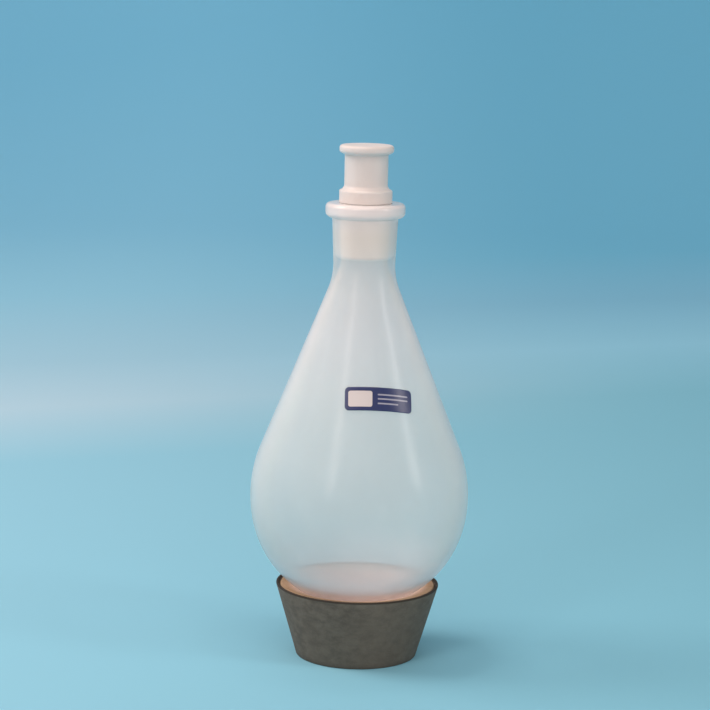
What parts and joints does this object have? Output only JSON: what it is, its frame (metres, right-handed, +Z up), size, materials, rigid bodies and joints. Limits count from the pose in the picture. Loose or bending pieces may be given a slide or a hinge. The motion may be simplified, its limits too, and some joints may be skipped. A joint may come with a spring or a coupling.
{
  "type": "pear-shaped laboratory flask with stopper and support",
  "caption": "Translucent fluoropolymer pear-shaped flask with round bottom, collared taper neck and white hollow stopper, standing in a tapered support with a tan seat.",
  "frame": {"origin": "centre of the support's foot, on the surface that the support stands on", "axes": "+Z up along the common axis of the support, flask and stopper; -Y towards the label's side"},
  "size_m": [0.1244, 0.1244, 0.2933],
  "materials": {
    "stand_shell": "matte",
    "stand_seat": "matte",
    "flask_body": "satin",
    "label": "satin",
    "stopper": "satin"
  },
  "bodies": {
    "support": {"stand_shell": "stand_shell", "stand_seat": "stand_seat"},
    "flask": {"flask_body": "flask_body", "label": "label"},
    "stopper": {"stopper": "stopper"}
  },
  "joints": [
    {"name": "flask_lift", "type": "slide", "parent": "support", "child": "flask", "axis": [0, 0, 1], "range_m": [0, 0.05]},
    {"name": "stopper_lift", "type": "slide", "parent": "flask", "child": "stopper", "axis": [0, 0, 1], "range_m": [0, 0.045]}
  ]
}
